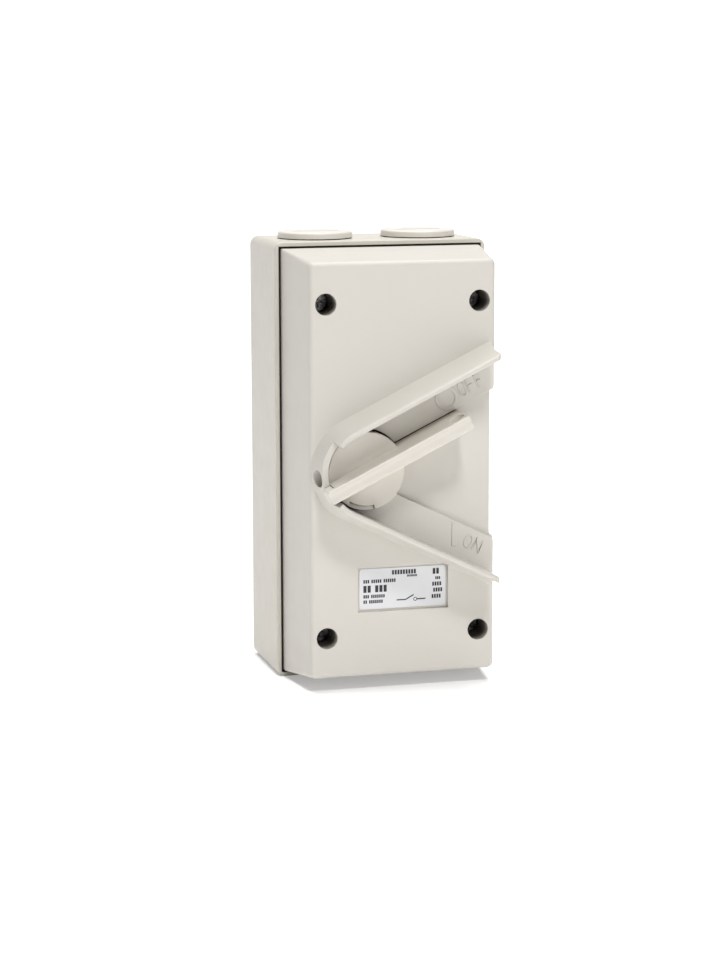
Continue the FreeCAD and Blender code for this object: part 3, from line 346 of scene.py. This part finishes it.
def legend(name, text, start, slope, width, height, pitch, stroke):
    """A word in raised strokes on the cover's face, from its lower left corner along a slope."""
    along = Vector((math.cos(slope), math.sin(slope)))
    up = Vector((-along.y, along.x))
    shape = bmesh.new()
    for index, letter in enumerate(text):
        for points, closed in letter_strokes(letter, width, height):
            placed = [start + along * (p.x + index * pitch) + up * p.y for p in points]
            raised_stroke(shape, placed, stroke, closed)
    raised_piece(name, shape, LEGEND_EDGE)


def make_ring():
    """The round mark of the OFF position."""
    shape = bmesh.new()
    centre, radius = Vector((16.6, 26.0)) * MM, 3.8 * MM
    raised_stroke(shape, arc(centre, radius, radius, 0, 360, 48)[:-1], 1.2 * MM, True)
    raised_piece("mark_ring", shape, MARK_EDGE)


def make_bar():
    """The upright mark of the ON position."""
    shape = bmesh.new()
    top, bottom = Vector((19.7, -20.8)) * MM, Vector((19.7, -29.4)) * MM
    raised_stroke(shape, [top, bottom], 1.8 * MM)
    raised_piece("mark_bar", shape, MARK_EDGE)


def make_legends():
    """Raised marks for the two positions: a ring and OFF above, a bar and ON below."""
    make_ring()
    make_bar()
    off_corner, on_corner = Vector((22.6, 26.3)) * MM, Vector((23.0, -29.4)) * MM
    legend("word_off", "OFF", off_corner, ARM_ANGLE, 2.4 * MM, 5.2 * MM, 3.6 * MM, 0.55 * MM)
    legend("word_on", "ON", on_corner, -ARM_ANGLE, 2.9 * MM, 4.6 * MM, 4.0 * MM, 0.6 * MM)


def label_spot(x, z):
    """A point on the label, in millimetres to the right of its upper left corner and down from it."""
    return Vector((LABEL_LOW.x + x * MM, LABEL_HIGH.z - z * MM))


def ink_stroke(shape, points, width, closed=False):
    """Add a printed stroke to the label, with its width in millimetres."""
    front = -LABEL_LOW.y
    ribbon(shape, points, width * MM, front - INK_ROOT, front + INK_RISE, closed)


def greeked_words(shape, x, z, lengths, size):
    """Words without lettering: each is a run of upright blocks, as many as its length says."""
    block, pitch, gap = 0.46 * size, 0.62 * size, 0.5 * size
    half = Vector((block / 2 * MM, 0))
    for length in lengths:
        for _ in range(length):
            centre = label_spot(x + block / 2, z + size / 2)
            ink_stroke(shape, [centre - half, centre + half], size)
            x += pitch
        x += gap


def switch_symbol(shape):
    """The plain drawing of an open contact."""
    wire_in = ((14.4, 12.3), (17.8, 12.3))
    blade = ((17.7, 12.4), (21.0, 10.6))
    wire_out = ((22.2, 12.3), (25.6, 12.3))
    for start, end in (wire_in, blade, wire_out):
        ink_stroke(shape, [label_spot(*start), label_spot(*end)], 0.45)
    radius = 0.6 * MM
    contact = [label_spot(21.6, 12.3) + p for p in arc((0, 0), radius, radius, 0, 360, 20)[:-1]]
    ink_stroke(shape, contact, 0.25, True)


def make_label_print():
    """Print on the label: rows of greeked words and a plain switch symbol, with no real lettering."""
    shape = bmesh.new()
    heading = [(12.6, 0.9, (9,), 1.7), (18.4, 2.9, (8,), 0.8), (28.4, 1.0, (2,), 2.2)]
    left_rows = [
        (1.6, 4.1, (3, 5, 6), 1.3), (1.6, 6.3, (2, 3), 2.6),
        (1.6, 9.8, (3, 7), 1.25), (1.6, 11.8, (2, 7), 1.25),
    ]
    right_rows = [
        (29.4, 4.2, (3,), 1.1), (28.2, 6.2, (4,), 1.5),
        (28.6, 8.5, (4,), 1.5), (28.0, 10.9, (4,), 1.5),
    ]
    for row in heading + left_rows + right_rows:
        greeked_words(shape, *row)
    switch_symbol(shape)
    bmesh.ops.recalc_face_normals(shape, faces=shape.faces)
    mesh = bpy.data.meshes.new("label_print")
    shape.to_mesh(mesh)
    shape.free()
    piece("label_print", mesh, INK, "enclosure")


# ---------------------------------------------------------------- stage, light and camera


def white_stage():
    """A pale floor that runs back and curves up into a backdrop, which glows as if lit from behind."""
    made = Recipe("stage_white", Roughness=0.9, Emission_Color=(1, 1, 1, 1))
    spot = made.node("SeparateXYZ")
    made.link(made.place, spot.inputs["Vector"])
    glow = made.node("Math", {"operation": "MULTIPLY"})
    made.link(made.spread(spot.outputs["Y"], 0.32, 1.0, start=0.1, end=0.9), glow.inputs[0])
    made.link(made.spread(spot.outputs["Z"], 1.0, 0.1, start=0.35, end=0.7), glow.inputs[1])
    made.feed("Emission Strength", glow.outputs["Value"])
    made.feed("Base Color", made.blend(made.noise(0.8, 2), (0.93, 0.93, 0.93), (0.95, 0.95, 0.95)))
    near, far, bend, high, half = -3.0, 2.4, 1.0, 3.2, 4.0
    profile = [Vector((near, 0))]
    profile += [p + Vector((far - bend, bend)) for p in arc((0, 0), bend, bend, -90, 0, 24)]
    profile.append(Vector((far, high)))
    shape = bmesh.new()
    rows = [[shape.verts.new((x, p.x, p.y + FLOOR)) for x in (-half, half)] for p in profile]
    for here, there in zip(rows, rows[1:]):
        shape.faces.new((here[0], here[1], there[1], there[0]))
    mesh = bpy.data.meshes.new("stage")
    shape.to_mesh(mesh)
    shape.free()
    for face in mesh.polygons:
        face.use_smooth = True
    mesh.materials.append(made.material)
    floor = bpy.data.objects.new("stage", mesh)
    bpy.context.scene.collection.objects.link(floor)


def lamp(name, place, size, watts):
    """A square white light aimed at the middle of the switch."""
    data = bpy.data.lights.new(name, "AREA")
    data.energy, data.size = watts, size
    made = bpy.data.objects.new(name, data)
    made.location = place
    aim = Vector((0, -0.04, 0)) - Vector(place)
    made.rotation_euler = aim.to_track_quat("-Z", "Y").to_euler()
    bpy.context.scene.collection.objects.link(made)


def studio_light():
    """A key from high in front, a broad light overhead, weak fills and an even pale surround."""
    lamp("key", (0.02, -0.80, 1.0), 0.22, 6.8)
    lamp("overhead", (0.0, 0.1, 1.1), 0.9, 13.0)
    lamp("left", (-1.3, -0.5, 0.15), 0.9, 1.0)
    lamp("front", (0.35, -1.6, 0.35), 0.9, 4.6)
    world = bpy.data.worlds.new("surround")
    world.use_nodes = True
    background = world.node_tree.nodes["Background"]
    background.inputs["Color"].default_value = (1, 1, 1, 1)
    background.inputs["Strength"].default_value = 0.03
    bpy.context.scene.world = world


def photo_camera():
    """The camera at the photograph's viewpoint."""
    data = bpy.data.cameras.new("camera")
    data.lens, data.sensor_width, data.clip_end = 92.4, 36.0, 50.0
    made = bpy.data.objects.new("camera", data)
    yaw, pitch, roll = (math.radians(a) for a in (-15.41, -9.38, 0.13))
    turn = Matrix.Rotation(yaw, 3, "Z") @ Matrix.Rotation(pitch, 3, "X") @ Matrix.Rotation(roll, 3, "Y")
    right, forward, up = turn.col
    made.matrix_world = Matrix((right, up, -forward)).transposed().to_4x4()
    made.location = (-0.2534, -0.9294, 0.1443)
    bpy.context.scene.collection.objects.link(made)
    bpy.context.scene.camera = made


finish_nodes()
make_legends()
make_label_print()
white_stage()
studio_light()
photo_camera()
bpy.context.scene.view_settings.view_transform = "Standard"
